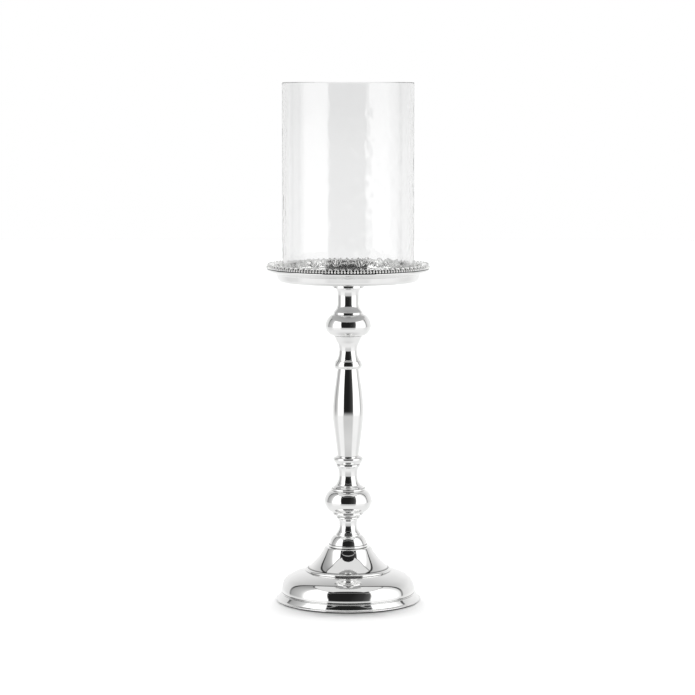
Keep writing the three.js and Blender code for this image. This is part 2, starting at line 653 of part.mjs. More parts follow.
// Under the foot
place('felt_pad', plate(FOOT_RIM_RADIUS - FELT_INSET, FELT_THICKNESS), felt, 0);
place('closing_disc', plate(FOOT_WALL_RADIUS, BOARD_THICKNESS), board, FELT_THICKNESS);

// The foot, and from its crown up the stem, one piece on the other
place('foot', footShell(), silver, FELT_THICKNESS);
const stem = [
  ['foot_cap', footCap(), CAP_HEIGHT],
  ['lower_neck', lowerNeck(), LOWER_NECK_HEIGHT],
  ['lower_knop', lowerKnop(), LOWER_KNOP_HEIGHT],
  ['waist_spool', waistSpool(), WAIST_SPOOL_HEIGHT],
  ['baluster_cup', balusterCup(), CUP_HEIGHT],
  ['baluster', baluster(), BALUSTER_HEIGHT],
  ['baluster_collar', balusterCollar(), COLLAR_HEIGHT],
  ['upper_spool', upperSpool(), UPPER_SPOOL_HEIGHT],
  ['upper_knop', upperKnop(), UPPER_KNOP_HEIGHT],
  ['capital', capital(), CAPITAL_HEIGHT],
];
const crown = FELT_THICKNESS + FOOT_HEIGHT;
let seat = crown + SEAM_GAP;
for (const [name, geometry, height] of stem) {
  place(name, geometry, silver, seat);
  seat += height + SEAM_GAP;
}

// The pan on the capital, its border, and the shade that stands in it
const panFloor = seat + PAN_SHEET;
const nutSeat = panFloor - WELL_DEPTH + SEAM_GAP;
place('pan', panShell(), silver, seat);
place('relief_border', reliefBorder(), darkSilver, seat);
place('bead_rim', beadRim(), darkSilver, seat);
place('pan_nut', panNut(), silver, nutSeat);
place('glass_shade', glassShade(), glass, panFloor + SHADE_SEAT_GAP);

// The tie rod, and the washers and nut that hold it inside the foot
const washerSeat = crown - FOOT_SHEET - SEAM_GAP - WASHER_THICKNESS;
const springSeat = washerSeat - SEAM_GAP - SPRING_WASHER_THICKNESS;
const footNutSeat = springSeat - SEAM_GAP - NUT_HEIGHT;
const rodFoot = footNutSeat - ROD_TAIL;
const rodTop = nutSeat + PAN_NUT_ROOF - ROD_END_GAP;
place('foot_washer', plate(WASHER_RADIUS, WASHER_THICKNESS, BORE_RADIUS), steel, washerSeat);
place('spring_washer', springWasher(), steel, springSeat);
place('foot_nut', hexNut(), steel, footNutSeat);
place('tie_rod', tieRod(rodTop - rodFoot), steel, rodFoot);

export default candlestick;
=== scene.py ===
import json
import math

import bmesh
import bpy
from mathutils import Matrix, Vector
from mathutils.geometry import interpolate_bezier


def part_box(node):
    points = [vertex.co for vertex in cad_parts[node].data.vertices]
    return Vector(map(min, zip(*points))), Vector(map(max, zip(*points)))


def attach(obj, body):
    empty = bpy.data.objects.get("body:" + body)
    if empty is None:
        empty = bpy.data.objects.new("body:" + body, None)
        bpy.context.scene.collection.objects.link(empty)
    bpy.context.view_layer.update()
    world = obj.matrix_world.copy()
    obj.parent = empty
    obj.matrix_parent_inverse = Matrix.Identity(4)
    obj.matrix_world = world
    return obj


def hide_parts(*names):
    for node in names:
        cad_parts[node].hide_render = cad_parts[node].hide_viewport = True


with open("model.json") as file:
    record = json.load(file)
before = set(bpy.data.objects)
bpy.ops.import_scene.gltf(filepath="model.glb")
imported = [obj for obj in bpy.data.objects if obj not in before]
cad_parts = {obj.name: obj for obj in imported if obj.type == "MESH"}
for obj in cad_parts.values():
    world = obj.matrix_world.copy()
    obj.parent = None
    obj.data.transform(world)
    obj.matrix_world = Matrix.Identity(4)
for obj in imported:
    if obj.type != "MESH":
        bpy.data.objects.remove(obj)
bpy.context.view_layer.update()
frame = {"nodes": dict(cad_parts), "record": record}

MM = 0.001  # sizes below are in millimetres, and meshes in metres

# How fine the turned pieces are
STEM_SIDES = 128
WIDE_SIDES = 224
CURVE_STEPS = 12
SHARP = math.radians(38)  # edges that turn more than this are shown sharp
SAME_PLACE = 1e-7  # points closer than this, in metres, are merged

# What the frame doesn't give of the turned pieces
SEAM = 0.06  # left between two pieces of the stem
BORE = 4.4  # hole for the tie rod
EDGE = 0.5  # usual rounding of a turned edge
CREASE_SHADE_WIDTH = 0.5  # of the dark line of shade painted along a crease
FOOT_SHEET = 1.4
PAN_SHEET = 2.0


def seat(node):
    """Height of a node's underside."""
    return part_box(node)[0].z / MM


def crest(node):
    """Height of a node's highest point."""
    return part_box(node)[1].z / MM


def reach(node):
    """Largest radius of a node."""
    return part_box(node)[1].x / MM


class Outline:
    """Half the section of a turned piece, as points of radius and height, drawn up from its seat."""

    def __init__(self, base, radius, height=0.0):
        self.base = base
        self.points = [Vector((radius, base + height))]
        self.creases = []

    def place(self, radius, height):
        return Vector((radius, self.base + height))

    def line(self, radius, height):
        self.points.append(self.place(radius, height))

    def curve(self, first, second, end):
        """A curve that leaves towards the first handle and comes in from the second."""
        start = self.points[-1]
        knots = (start, self.place(*first), self.place(*second), self.place(*end))
        self.points += interpolate_bezier(*knots, CURVE_STEPS)[1:]

    def shaded_crease(self):
        """The outline turns inwards sharply here, and a dark line of shade is painted along it."""
        self.creases.append(self.points[-1])

    def bend(self, corner, end):
        """A curve that rounds a corner."""
        start, turn, stop = self.points[-1], self.place(*corner), self.place(*end)
        first, second = start.lerp(turn, 2 / 3), stop.lerp(turn, 2 / 3)
        self.points += interpolate_bezier(start, first, second, stop, CURVE_STEPS)[1:]


def inner_side(points, sheet):
    """The other face of a sheet of that thickness, to the left of the way that the points run."""
    shifted = []
    for before, here, after in zip(points, points[1:], points[2:]):
        along = (after - before).normalized()
        shifted.append(here + sheet * Vector((-along.y, along.x)))
    clear = 0.98 * sheet  # what lies nearer is past a tight bend, and is left out
    return [p for p in shifted if min((p - q).length for q in points) > clear]


def closed(work, mesh):
    """Puts the work into a mesh, with its doubles merged and its faces outwards."""
    bmesh.ops.remove_doubles(work, verts=work.verts, dist=SAME_PLACE)
    bmesh.ops.recalc_face_normals(work, faces=work.faces)
    work.to_mesh(mesh)
    work.free()
    return mesh


def turned(name, section, sides, creases=()):
    """The mesh of a closed section, turned once round the axis."""
    work = bmesh.new()
    # how near each point lies to a crease, for the dark line of shade painted there
    crease_shade = work.verts.layers.float.new("shaded_crease")
    shade_depths = [max((1 - (p - c).length / CREASE_SHADE_WIDTH for c in creases), default=0) for p in section]
    rings = []
    for i in range(sides):
        angle = 2 * math.pi * i / sides
        c, s = math.cos(angle) * MM, math.sin(angle) * MM
        ring = [work.verts.new((p.x * c, p.x * s, p.y * MM)) for p in section]
        for vertex, depth in zip(ring, shade_depths):
            vertex[crease_shade] = max(depth, 0)
        rings.append(ring)
    for ring, following in zip(rings, rings[1:] + rings[:1]):
        for j in range(len(section)):
            work.faces.new((ring[j - 1], following[j - 1], following[j], ring[j]))
    mesh = closed(work, bpy.data.meshes.new(name))
    mesh.shade_smooth()
    mesh.set_sharp_from_angle(angle=SHARP)
    return mesh


def bored(outline, top):
    """Closes a stem piece's outline into a section with the hole for the rod."""
    points = outline.points
    return [Vector((BORE, points[0].y)), *points, Vector((BORE, top))]


def show(name, mesh, finish, body="stick", stands_for=()):
    """Puts a finished mesh into the scene on its body, in the finish of that slot of the record."""
    piece = bpy.data.objects.new(name, mesh)
    bpy.context.scene.collection.objects.link(piece)
    mesh.materials.clear()
    mesh.materials.append(FINISHES[finish])
    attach(piece, body)
    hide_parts(*stands_for)


# Nodes of materials and of the surroundings

def add(tree, kind, inputs=None, **settings):
    """A new node, with its settings and with each input set to a value or linked to a socket."""
    node = tree.nodes.new(kind)
    for name, value in settings.items():
        setattr(node, name, value)
    for name, value in (inputs or {}).items():
        if isinstance(value, bpy.types.NodeSocket):
            tree.links.new(value, node.inputs[name])
        else:
            node.inputs[name].default_value = value
    return node


def math_node(tree, operation, *values):
    """The result of one step of arithmetic on numbers or sockets."""
    return add(tree, "ShaderNodeMath", dict(enumerate(values)), operation=operation).outputs[0]


def together(tree, operation, first, second):
    """Two colours or vectors multiplied or added."""
    return add(tree, "ShaderNodeVectorMath", {0: first, 1: second}, operation=operation).outputs[0]


def ramp(tree, factor, stops, interpolation="LINEAR"):
    """A colour ramp of grey values or colours, each with its place from 0 to 1."""
    node = add(tree, "ShaderNodeValToRGB", {"Fac": factor})
    band = node.color_ramp
    band.interpolation = interpolation
    while len(band.elements) < len(stops):
        band.elements.new(1.0)
    for element, (place, tone) in zip(band.elements, stops):
        element.position = place
        element.color = (*tone, 1.0) if isinstance(tone, tuple) else (tone, tone, tone, 1.0)
    return node.outputs["Color"]


def new_material(name):
    material = bpy.data.materials.new(name)
    material.use_nodes = True
    tree = material.node_tree
    shader = tree.nodes["Principled BSDF"]
    coordinates = tree.nodes.new("ShaderNodeTexCoord").outputs["Object"]
    return material, tree, shader, coordinates


def stored(tree, name):
    """What a mesh keeps under a name, point by point."""
    return add(tree, "ShaderNodeAttribute", attribute_name=name).outputs["Fac"]


NOISE_SPAN = (0.3, 0.7)  # where most values of a noise lie


def noise(tree, coordinates, scale, detail=3.0):
    inputs = {"Vector": coordinates, "Scale": scale, "Detail": detail}
    return add(tree, "ShaderNodeTexNoise", inputs).outputs["Fac"]


def brought(tree, value, low, high, first=0.0, last=1.0, **settings):
    """A value between two limits, brought between two others."""
    inputs = {"Value": value, "From Min": low, "From Max": high, "To Min": first, "To Max": last}
    return add(tree, "ShaderNodeMapRange", inputs, **settings).outputs["Result"]


def smooth_step(tree, value, low, high):
    return brought(tree, value, low, high, interpolation_type="SMOOTHSTEP")


def spread(tree, value, least, most):
    """A noise value brought between two limits."""
    return brought(tree, value, *NOISE_SPAN, least, most)


def two_tones(tree, value, dark, light):
    """A noise value as a colour between two."""
    return ramp(tree, value, list(zip(NOISE_SPAN, (dark, light))))


def mix_colours(tree, factor, first, second):
    node = add(tree, "ShaderNodeMix", {"Factor": factor}, data_type="RGBA")
    colours = [socket for socket in node.inputs if socket.type == "RGBA"]
    for socket, value in zip(colours, (first, second)):
        if isinstance(value, bpy.types.NodeSocket):
            tree.links.new(value, socket)
        else:
            socket.default_value = (value, value, value, 1.0)
    return [socket for socket in node.outputs if socket.type == "RGBA"][0]


CREASE_SHADE_TONE = 0.1  # of the shade painted in a crease
UNDERSIDE_SHADE_TONE = 0.5  # of shade painted under the pan's floor, on metal left unpolished
DULL_ROUGHNESS = 0.3
ROUND_MARKS = (0.04, 0.04, 1.0)  # scale of marks that polishing leaves round a piece


def polished_silver():
    material, tree, shader, coordinates = new_material("polished_silver")
    cloud = noise(tree, coordinates, scale=45.0)
    tone = two_tones(tree, cloud, dark=(0.885, 0.885, 0.88), light=(0.92, 0.92, 0.915))
    # painted shade: a dark line along each crease
    tone = mix_colours(tree, stored(tree, "shaded_crease"), tone, CREASE_SHADE_TONE)
    # under the pan's floor: rougher metal, with shade painted into its colour
    dull_and_shaded = stored(tree, "dull_and_shaded")
    tone = mix_colours(tree, dull_and_shaded, tone, UNDERSIDE_SHADE_TONE)
    tree.links.new(tone, shader.inputs["Base Color"])
    around = add(tree, "ShaderNodeMapping", {"Vector": coordinates, "Scale": ROUND_MARKS})
    marks = noise(tree, around.outputs["Vector"], scale=900.0, detail=2.0)
    polish = spread(tree, marks, least=0.02, most=0.05)
    rough = math_node(tree, "MULTIPLY_ADD", dull_and_shaded, DULL_ROUGHNESS, polish)
    tree.links.new(rough, shader.inputs["Roughness"])
    shader.inputs["Metallic"].default_value = 1.0
    return material


GRAIN_SHARE = 0.35  # how much the darkening varies
# tarnish in the ornament's hollows, and the shade painted at the foot of the rim band
TARNISH_AND_SHADE = [(0.32, (0.93, 0.93, 0.92)), (0.6, (0.5, 0.495, 0.485)), (1.0, (0.035, 0.034, 0.033))]
BRIGHT, BRIGHT_ROUGHNESS = 0.2, 0.05
DARK, DARK_ROUGHNESS = 1.0, 0.16


def oxidised_silver():
    material, tree, shader, coordinates = new_material("oxidised_silver")
    grain = noise(tree, coordinates, scale=700.0)
    shade = math_node(tree, "MULTIPLY_ADD", grain, GRAIN_SHARE, stored(tree, "recess"))
    tree.links.new(ramp(tree, shade, TARNISH_AND_SHADE), shader.inputs["Base Color"])
    rough = brought(tree, shade, BRIGHT, DARK, BRIGHT_ROUGHNESS, DARK_ROUGHNESS)
    tree.links.new(rough, shader.inputs["Roughness"])
    shader.inputs["Metallic"].default_value = 1.0
    return material


# Tone of one wall of the glass, from its seat up to its rim
GLASS_TONES = [(0.1, (0.998, 0.999, 0.999)), (0.72, (0.972, 0.973, 0.973)), (1.0, (0.94, 0.941, 0.941))]
CLOUD_SHARE = 0.2  # how much the tone varies


def clear_glass():
    material, tree, shader, coordinates = new_material("clear_glass")
    cloud = noise(tree, coordinates, scale=25.0)
    height = add(tree, "ShaderNodeSeparateXYZ", {"Vector": coordinates}).outputs["Z"]
    share = brought(tree, height, seat("glass_shade") * MM, crest("glass_shade") * MM)
    share = math_node(tree, "MULTIPLY_ADD", cloud, CLOUD_SHARE, share)
    tree.links.new(ramp(tree, share, GLASS_TONES), shader.inputs["Base Color"])
    shader.inputs["Roughness"].default_value = 0.0
    shader.inputs["IOR"].default_value = 1.5
    shader.inputs["Transmission Weight"].default_value = 1.0
    return material


LONG_MARKS = (1.0, 1.0, 0.08)  # scale of marks along a drawn rod


def steel():
    material, tree, shader, coordinates = new_material("steel")
    brushed = add(tree, "ShaderNodeMapping", {"Vector": coordinates, "Scale": LONG_MARKS})
    grain = noise(tree, brushed.outputs["Vector"], scale=1200.0)
    tone = two_tones(tree, grain, dark=(0.5, 0.51, 0.52), light=(0.68, 0.69, 0.7))
    tree.links.new(tone, shader.inputs["Base Color"])
    tree.links.new(spread(tree, grain, least=0.25, most=0.42), shader.inputs["Roughness"])
    shader.inputs["Metallic"].default_value = 1.0
    return material


def felt():
    material, tree, shader, coordinates = new_material("felt")
    pile = noise(tree, coordinates, scale=1800.0, detail=4.0)
    tone = two_tones(tree, pile, dark=(0.012, 0.012, 0.013), light=(0.05, 0.05, 0.052))
    tree.links.new(tone, shader.inputs["Base Color"])
    bump = add(tree, "ShaderNodeBump", {"Height": pile, "Strength": 0.6, "Distance": 0.4 * MM})
    tree.links.new(bump.outputs["Normal"], shader.inputs["Normal"])
    shader.inputs["Roughness"].default_value = 0.95
    shader.inputs["Sheen Weight"].default_value = 0.3
    return material


def board():
    material, tree, shader, coordinates = new_material("board")
    chips = noise(tree, coordinates, scale=420.0, detail=5.0)
    tone = two_tones(tree, chips, dark=(0.2, 0.13, 0.07), light=(0.36, 0.25, 0.15))
    tree.links.new(tone, shader.inputs["Base Color"])
    bump = add(tree, "ShaderNodeBump", {"Height": chips, "Strength": 0.3, "Distance": 0.3 * MM})
    tree.links.new(bump.outputs["Normal"], shader.inputs["Normal"])
    shader.inputs["Roughness"].default_value = 0.8
    return material


FINISHES = {
    "polished_silver": polished_silver(),
    "oxidised_silver": oxidised_silver(),
    "clear_glass": clear_glass(),
    "steel": steel(),
    "felt": felt(),
    "board": board(),
}


# The studio: camera, floor and the surroundings that the metal and the glass show

CAMERA_PLACE = (-0.0007, -2.75, 0.5595)
CAMERA_DROP = 5.993  # degrees that the camera looks down
LENS = 135.25
SENSOR = 36.0
FARTHEST = 50.0  # metres that the camera sees


def photo_camera():
    data = bpy.data.cameras.new("photo_camera")
    data.sensor_width = SENSOR
    data.lens = LENS
    data.clip_end = FARTHEST
    camera = bpy.data.objects.new("photo_camera", data)
    camera.location = CAMERA_PLACE
    camera.rotation_euler = (math.radians(90.0 - CAMERA_DROP), 0.0, 0.0)
    bpy.context.scene.collection.objects.link(camera)
    bpy.context.scene.camera = camera


# Brightness round the object, by azimuth in degrees from the camera's side and positive to the right:
# the dark room between two soft boxes, which lean outwards, and the table below them
EYE_LEVEL = [
    (-180, 0.36), (-122, 0.36), (-104, 0.5), (-95, 0.58), (-88, 0.72), (-80, 1.35), (-35.5, 1.35),
    (-33.5, 0.016), (1, 0.016), (10, 0.025), (24, 0.04), (33, 0.09), (37, 0.14), (40, 1.35), (90, 1.35),
    (105, 0.8), (180, 0.8),
]
DARK_ROOM = [(-180, 0.0), (-35, 0.0), (-34, 1.0), (36, 1.0), (38, 0.0)]
TABLE_LEVEL = [
    (-180, 1.0), (-140, 0.95), (-118, 0.78), (-95, 0.8), (-80, 1.0), (-42, 1.0), (-33, 0.64),
    (33, 0.64), (42, 1.0), (80, 1.0), (100, 0.84), (115, 0.84), (140, 0.97),
]
BOX_LEAN = 0.2
# The backdrop fills a cone behind the object, with a dark edge, and darkens upwards
BACK_AXIS = (0.1045, 0.9945, 0.0)
BACKDROP = [(0, 0.98), (38, 0.9), (60, 0.76), (180, 0.76)]
BACKDROP_FALL = [(-90, 1.0), (12, 1.0), (38, 0.8), (60, 0.68), (90, 0.68)]
BACKDROP_REACH = (64.0, 65.0)
BACKDROP_EDGE = [(0, 0.0), *zip(BACKDROP_REACH, (0.0, 1.0)), (69.0, 1.0), (70.5, 0.0)]
BACKDROP_EDGE_TONE = [(-90, 0.3), (5, 0.3), (30, 0.05), (90, 0.05)]
# A panel overhead starts at these elevations, with a thin frame, and a lamp's edge crosses the dark room
OVERHEAD_LOW = [
    (-180, 57), (-125, 57), (-90, 58.5), (-37, 54), (-33, 59), (-25, 62.5), (-12, 64.7), (0, 65.5),
    (12, 64.7), (25, 62.5), (33, 59), (38, 54), (90, 58.5), (120, 57),
]
OVERHEAD_FRAME = [(-90, 1.0), (-1.8, 1.0), (-1.2, 0.2), (-0.3, 0.2), (0.3, 1.0)]
LAMP_EDGE = [(-90, 0.0), (-13.8, 0.0), (-13.0, 0.45), (-12.0, 0.45), (-11.2, 0.0)]
OVERHEAD, OVERHEAD_BLUR = 0.8, 0.4  # its brightness, and how soft its edge is
# What lights the floor: a dome, and a brighter band of it over the backdrop, by elevation and by azimuth
DOME, BAND = 0.4, 6.6
BAND_HEIGHT = [(-90, 0.0), (2, 0.0), (12, 1.0), (34, 1.0), (48, 0.0)]
BAND_TURN = [(-180, 1.0), (-130, 1.0), (-110, 0.0), (110, 0.0), (130, 1.0)]
# Light that goes to and fro between the glass and the pan is dimmed, after so many reflections and passes
ECHO, ECHO_REFLECTIONS, ECHO_PASSES = 0.3, 1.5, 6.5
ONE_REFLECTION = 0.5  # rays above this have been reflected at least once
# Elevations where the table starts, where its far part ends and where it is seen from straight above
TABLE_EDGE = (-11.0, -5.0)
TABLE_MIDDLE, TABLE_MIDDLE_TONE = (-16.0, -38.0), 0.9
TABLE_NEAR, TABLE_NEAR_TONE = (-45.0, -80.0), 0.65
# Spans of the angles: azimuth, elevation, and angle from the backdrop's axis
TURN, TILT, CONE = (-180.0, 180.0), (-90.0, 90.0), (0.0, 180.0)


def studio_world():
    world = bpy.data.worlds.new("studio")
    bpy.context.scene.world = world
    world.cycles.sampling_method = "NONE"  # so that each kind of ray finds its own surroundings
    world.use_nodes = True
    tree = world.node_tree
    tree.nodes.clear()
    direction = tree.nodes.new("ShaderNodeTexCoord").outputs["Generated"]
    parts = add(tree, "ShaderNodeSeparateXYZ", {"Vector": direction}).outputs
    elevation = math_node(tree, "DEGREES", math_node(tree, "ARCSINE", parts["Z"]))
    side = math_node(tree, "ABSOLUTE", parts["X"])
    lift = math_node(tree, "MAXIMUM", parts["Z"], 0.0)
    lean = math_node(tree, "MAXIMUM", math_node(tree, "MULTIPLY_ADD", lift, -BOX_LEAN, side), 0.0)
    across = math_node(tree, "MULTIPLY", lean, math_node(tree, "SIGN", parts["X"]))
    ahead = math_node(tree, "MULTIPLY", parts["Y"], -1.0)

    def azimuth_of(sideways):
        return math_node(tree, "DEGREES", math_node(tree, "ARCTAN2", sideways, ahead))

    def angle_from(axis):
        dot = add(tree, "ShaderNodeVectorMath", {0: direction, 1: axis}, operation="DOT_PRODUCT")
        return math_node(tree, "DEGREES", math_node(tree, "ARCCOSINE", dot.outputs["Value"]))

    def tones(angle, span, stops):
        """Brightness by an angle within its span."""
        low, high = span
        shares = [((place - low) / (high - low), tone) for place, tone in stops]
        return ramp(tree, brought(tree, angle, low, high), shares)

    azimuth, plain_azimuth, from_back = azimuth_of(across), azimuth_of(parts["X"]), angle_from(BACK_AXIS)
    highest = TILT[1]
    low = tones(plain_azimuth, TURN, [(angle, height / highest) for angle, height in OVERHEAD_LOW])
    over = math_node(tree, "SUBTRACT", elevation, math_node(tree, "MULTIPLY", low, highest))
    lamp = together(tree, "MULTIPLY", tones(azimuth, TURN, DARK_ROOM), tones(over, TILT, LAMP_EDGE))
    front = together(tree, "ADD", tones(azimuth, TURN, EYE_LEVEL), lamp)
    front = mix_colours(tree, smooth_step(tree, over, -OVERHEAD_BLUR, OVERHEAD_BLUR), front, OVERHEAD)
    front = together(tree, "MULTIPLY", front, tones(over, TILT, OVERHEAD_FRAME))
    fall = tones(elevation, TILT, BACKDROP_FALL)
    backdrop = together(tree, "MULTIPLY", tones(from_back, CONE, BACKDROP), fall)
    room = mix_colours(tree, smooth_step(tree, from_back, *BACKDROP_REACH), backdrop, front)
    edge_tone = tones(elevation, TILT, BACKDROP_EDGE_TONE)
    room = mix_colours(tree, tones(from_back, CONE, BACKDROP_EDGE), room, edge_tone)
    table = tones(azimuth, TURN, TABLE_LEVEL)
    table = mix_colours(tree, smooth_step(tree, elevation, *TABLE_MIDDLE), table, TABLE_MIDDLE_TONE)
    table = mix_colours(tree, smooth_step(tree, elevation, *TABLE_NEAR), table, TABLE_NEAR_TONE)
    surroundings = mix_colours(tree, smooth_step(tree, elevation, *TABLE_EDGE), table, room)
    band = tones(elevation, TILT, BAND_HEIGHT)
    band = together(tree, "MULTIPLY", band, tones(plain_azimuth, TURN, BAND_TURN))
    soft_light = together(tree, "ADD", together(tree, "MULTIPLY", band, (BAND,) * 3), (DOME,) * 3)
    path = tree.nodes.new("ShaderNodeLightPath").outputs
    surroundings = mix_colours(tree, path["Is Diffuse Ray"], surroundings, soft_light)
    again = math_node(tree, "GREATER_THAN", path["Glossy Depth"], ECHO_REFLECTIONS)
    deep = math_node(tree, "GREATER_THAN", path["Transmission Depth"], ECHO_PASSES)
    dim = together(tree, "MULTIPLY", surroundings, (ECHO,) * 3)
    surroundings = mix_colours(tree, math_node(tree, "MULTIPLY", again, deep), surroundings, dim)
    seen = add(tree, "ShaderNodeBackground", {"Color": (1.0, 1.0, 1.0, 1.0), "Strength": 1.0})
    lit = add(tree, "ShaderNodeBackground", {"Color": surroundings, "Strength": 1.0})
    # Rays that go straight through the glass find the white background
    straight = math_node(tree, "LESS_THAN", path["Glossy Depth"], ONE_REFLECTION)
    through = math_node(tree, "MULTIPLY", path["Is Transmission Ray"], straight)
    white = math_node(tree, "MAXIMUM", path["Is Camera Ray"], through)
    both = add(tree, "ShaderNodeMixShader", {0: white, 1: lit.outputs[0], 2: seen.outputs[0]})
    add(tree, "ShaderNodeOutputWorld", {"Surface": both.outputs[0]})


FLOOR_SIZE = 12.0
FLOOR_COLOUR = (0.95, 0.95, 0.95, 1.0)


def pale_floor():
    """A floor that metal and glass don't mirror: they show the table of the surroundings instead."""
    material = bpy.data.materials.new("pale_floor")
    material.use_nodes = True
    tree = material.node_tree
    tree.nodes.clear()
    path = tree.nodes.new("ShaderNodeLightPath").outputs
    surface = add(tree, "ShaderNodeBsdfDiffuse", {"Color": FLOOR_COLOUR})
    clear = tree.nodes.new("ShaderNodeBsdfTransparent")
    reflected = math_node(tree, "GREATER_THAN", path["Glossy Depth"], ONE_REFLECTION)
    reflected = math_node(tree, "MAXIMUM", reflected, path["Is Glossy Ray"])
    both = add(tree, "ShaderNodeMixShader", {0: reflected, 1: surface.outputs[0], 2: clear.outputs[0]})
    add(tree, "ShaderNodeOutputMaterial", {"Surface": both.outputs[0]})
    half = FLOOR_SIZE / 2
    mesh = bpy.data.meshes.new("floor")
    corners = [(-half, -half, 0), (half, -half, 0), (half, half, 0), (-half, half, 0)]
    mesh.from_pydata(corners, [], [(0, 1, 2, 3)])
    mesh.materials.append(material)
    floor = bpy.data.objects.new("floor", mesh)
    bpy.context.scene.collection.objects.link(floor)


# Foot: rim, hollow flange, upright wall, dome, moulding and cone

CROWN_LEDGE = 3.3  # left free round the cap


def foot_section():
    rim, wall, cap = reach("foot"), reach("closing_disc"), reach("foot_cap")
    crown, base = cap + CROWN_LEDGE, seat("foot")
    top = crest("foot") - base
    line = Outline(base, rim - EDGE)
    line.bend((rim, 0.0), (rim, EDGE))
    line.bend((rim, 1.0), (rim - 0.7, 1.2))
    line.curve((rim - 1.6, 1.5), (wall + 3.8, 1.4), (wall + 3.5, 2.0))
    line.curve((wall + 3.1, 3.2), (wall + 2.0, 5.0), (wall + 1.4, 6.0))
    line.bend((wall + 1.1, 6.6), (wall + 0.5, 6.6))
    line.bend((wall - 0.6, 6.7), (wall - 0.6, 7.6))
    line.shaded_crease()
    line.curve((wall - 0.3, 8.4), (wall, 8.8), (wall, 9.4))
    line.curve((wall, 16.2), (wall - 2.9, 21.4), (wall - 8.5, 24.4))
    line.curve((wall - 13.5, 27.0), (51.1, 29.3), (45.3, 30.4))
    line.line(45.0, 30.7)
    line.shaded_crease()
    line.curve((45.9, 31.1), (45.6, 32.5), (44.0, 33.2))
    line.bend((43.4, 33.3), (43.0, 33.6))
    line.shaded_crease()
    line.curve((37.5, 36.7), (crown + 4.3, 47.0), (crown + 0.6, top - 0.8))
    line.bend((crown + 0.1, top), (crown - 0.7, top))
    line.line(BORE, top)
    section = [*line.points, *reversed(inner_side(line.points, FOOT_SHEET))]
    return section, line.creases


def foot():
    section, creases = foot_section()
    mesh = turned("foot", section, WIDE_SIDES, creases)
    show("polished_foot", mesh, "polished_silver", stands_for=["foot"])


# Stem pieces, each drawn from its own seat up to the seat of the next, as measured in the photograph

def foot_cap(base, height):
    edge = reach("foot_cap")
    line = Outline(base, edge - 0.7)
    line.bend((edge, 0.0), (edge, 0.6))
    line.line(edge, 1.8)
    line.bend((edge, 2.3), (edge - 0.7, 2.4))
    line.shaded_crease()
    line.line(edge - 0.7, 2.6)
    line.curve((edge - 1.2, 5.0), (18.2, 8.2), (16.4, 10.4))
    line.curve((15.6, 11.4), (14.6, 11.9), (13.6, 12.1))
    line.bend((13.1, 12.2), (13.1, 12.6))
    line.line(13.0, height)
    return line


def lower_neck(base, height):
    ring, waist = reach("lower_neck"), 9.42
    line = Outline(base, 12.2)
    line.bend((12.7, 0.0), (12.6, 0.5))
    line.curve((12.1, 2.3), (waist + 0.2, 4.0), (waist, 7.2))
    line.line(waist, 10.4)
    line.curve((waist, 12.6), (9.9, 14.4), (10.9, 16.2))
    line.line(11.3, 16.3)
    line.curve((12.9, 16.5), (12.9, 18.6), (11.9, 18.9))
    line.shaded_crease()
    line.curve((13.6, 19.2), (ring - 0.2, 20.2), (ring, 21.9))
    line.bend((ring, 23.0), (ring - 0.6, height))
    return line


def knop(base, height, belly, belly_height, low, high):
    """A flattened ball between two rings, with a rather tight belly."""
    line = Outline(base, low)
    line.curve((low + 5.2, 0.5), (belly, belly_height - 4.4), (belly, belly_height))
    line.curve((belly, belly_height + 4.6), (high + 4.6, height - 0.9), (high, height))
    return line


def lower_knop(base, height):
    return knop(base, height, reach("lower_knop"), belly_height=11.3, low=16.3, high=17.6)


def waist_spool(base, height):
    ring, waist = reach("waist_spool"), 9.8
    line = Outline(base, ring - 0.6)
    line.bend((ring, 0.0), (ring, 0.6))
    line.line(ring, 1.6)
    line.bend((ring, 2.1), (ring - 0.9, 2.2))
    line.shaded_crease()
    line.curve((ring - 1.6, 2.3), (ring - 2.2, 3.8), (ring - 3.8, 4.6))
    line.curve((ring - 5.2, 5.2), (ring - 5.4, 5.6), (ring - 5.7, 6.4))
    line.curve((ring - 7.2, 8.6), (waist, 10.6), (waist, 15.6))
    line.curve((waist, 19.6), (10.5, 22.4), (11.4, height))
    return line


def baluster_cup(base, height):
    lip = reach("baluster_cup")
    line = Outline(base, 11.6)
    line.curve((12.9, 0.3), (12.9, 2.9), (12.1, 3.2))
    line.shaded_crease()
    line.curve((12.8, 3.4), (13.6, 4.2), (14.2, 5.0))
    line.curve((15.0, 6.1), (lip, 7.2), (lip, 8.8))
    line.curve((lip, 10.0), (15.0, 10.6), (13.8, 11.1))
    line.curve((12.8, 11.5), (12.0, 11.7), (11.5, height))
    return line


def baluster(base, height):
    belly, low, high = reach("baluster"), 11.3, 11.2
    line = Outline(base, low)
    line.curve((low + 0.6, 11.0), (belly - 0.15, 30.0), (belly, 45.0))
    line.curve((belly + 0.1, 63.0), (high + 2.0, 78.0), (high, height))
    return line


def baluster_collar(base, height):
    ring = reach("baluster_collar")
    line = Outline(base, 12.9)
    line.bend((13.9, 0.2), (14.0, 1.0))
    line.curve((14.4, 1.4), (ring, 2.2), (ring, 3.4))
    line.curve((ring, 4.8), (14.4, 5.6), (13.5, height))
    return line


def upper_spool(base, height):
    ledge, waist = reach("upper_spool"), 9.5
    line = Outline(base, 13.2)
    line.curve((11.9, 1.8), (10.0, 5.0), (waist + 0.1, 9.6))
    line.curve((waist - 0.2, 14.6), (10.6, 18.6), (12.2, 21.2))
    line.curve((13.3, 23.0), (14.3, 25.4), (ledge, height - 0.2))
    line.line(ledge - 0.3, height)
    return line


def upper_knop(base, height):
    return knop(base, height, reach("upper_knop"), belly_height=10.3, low=15.3, high=16.3)


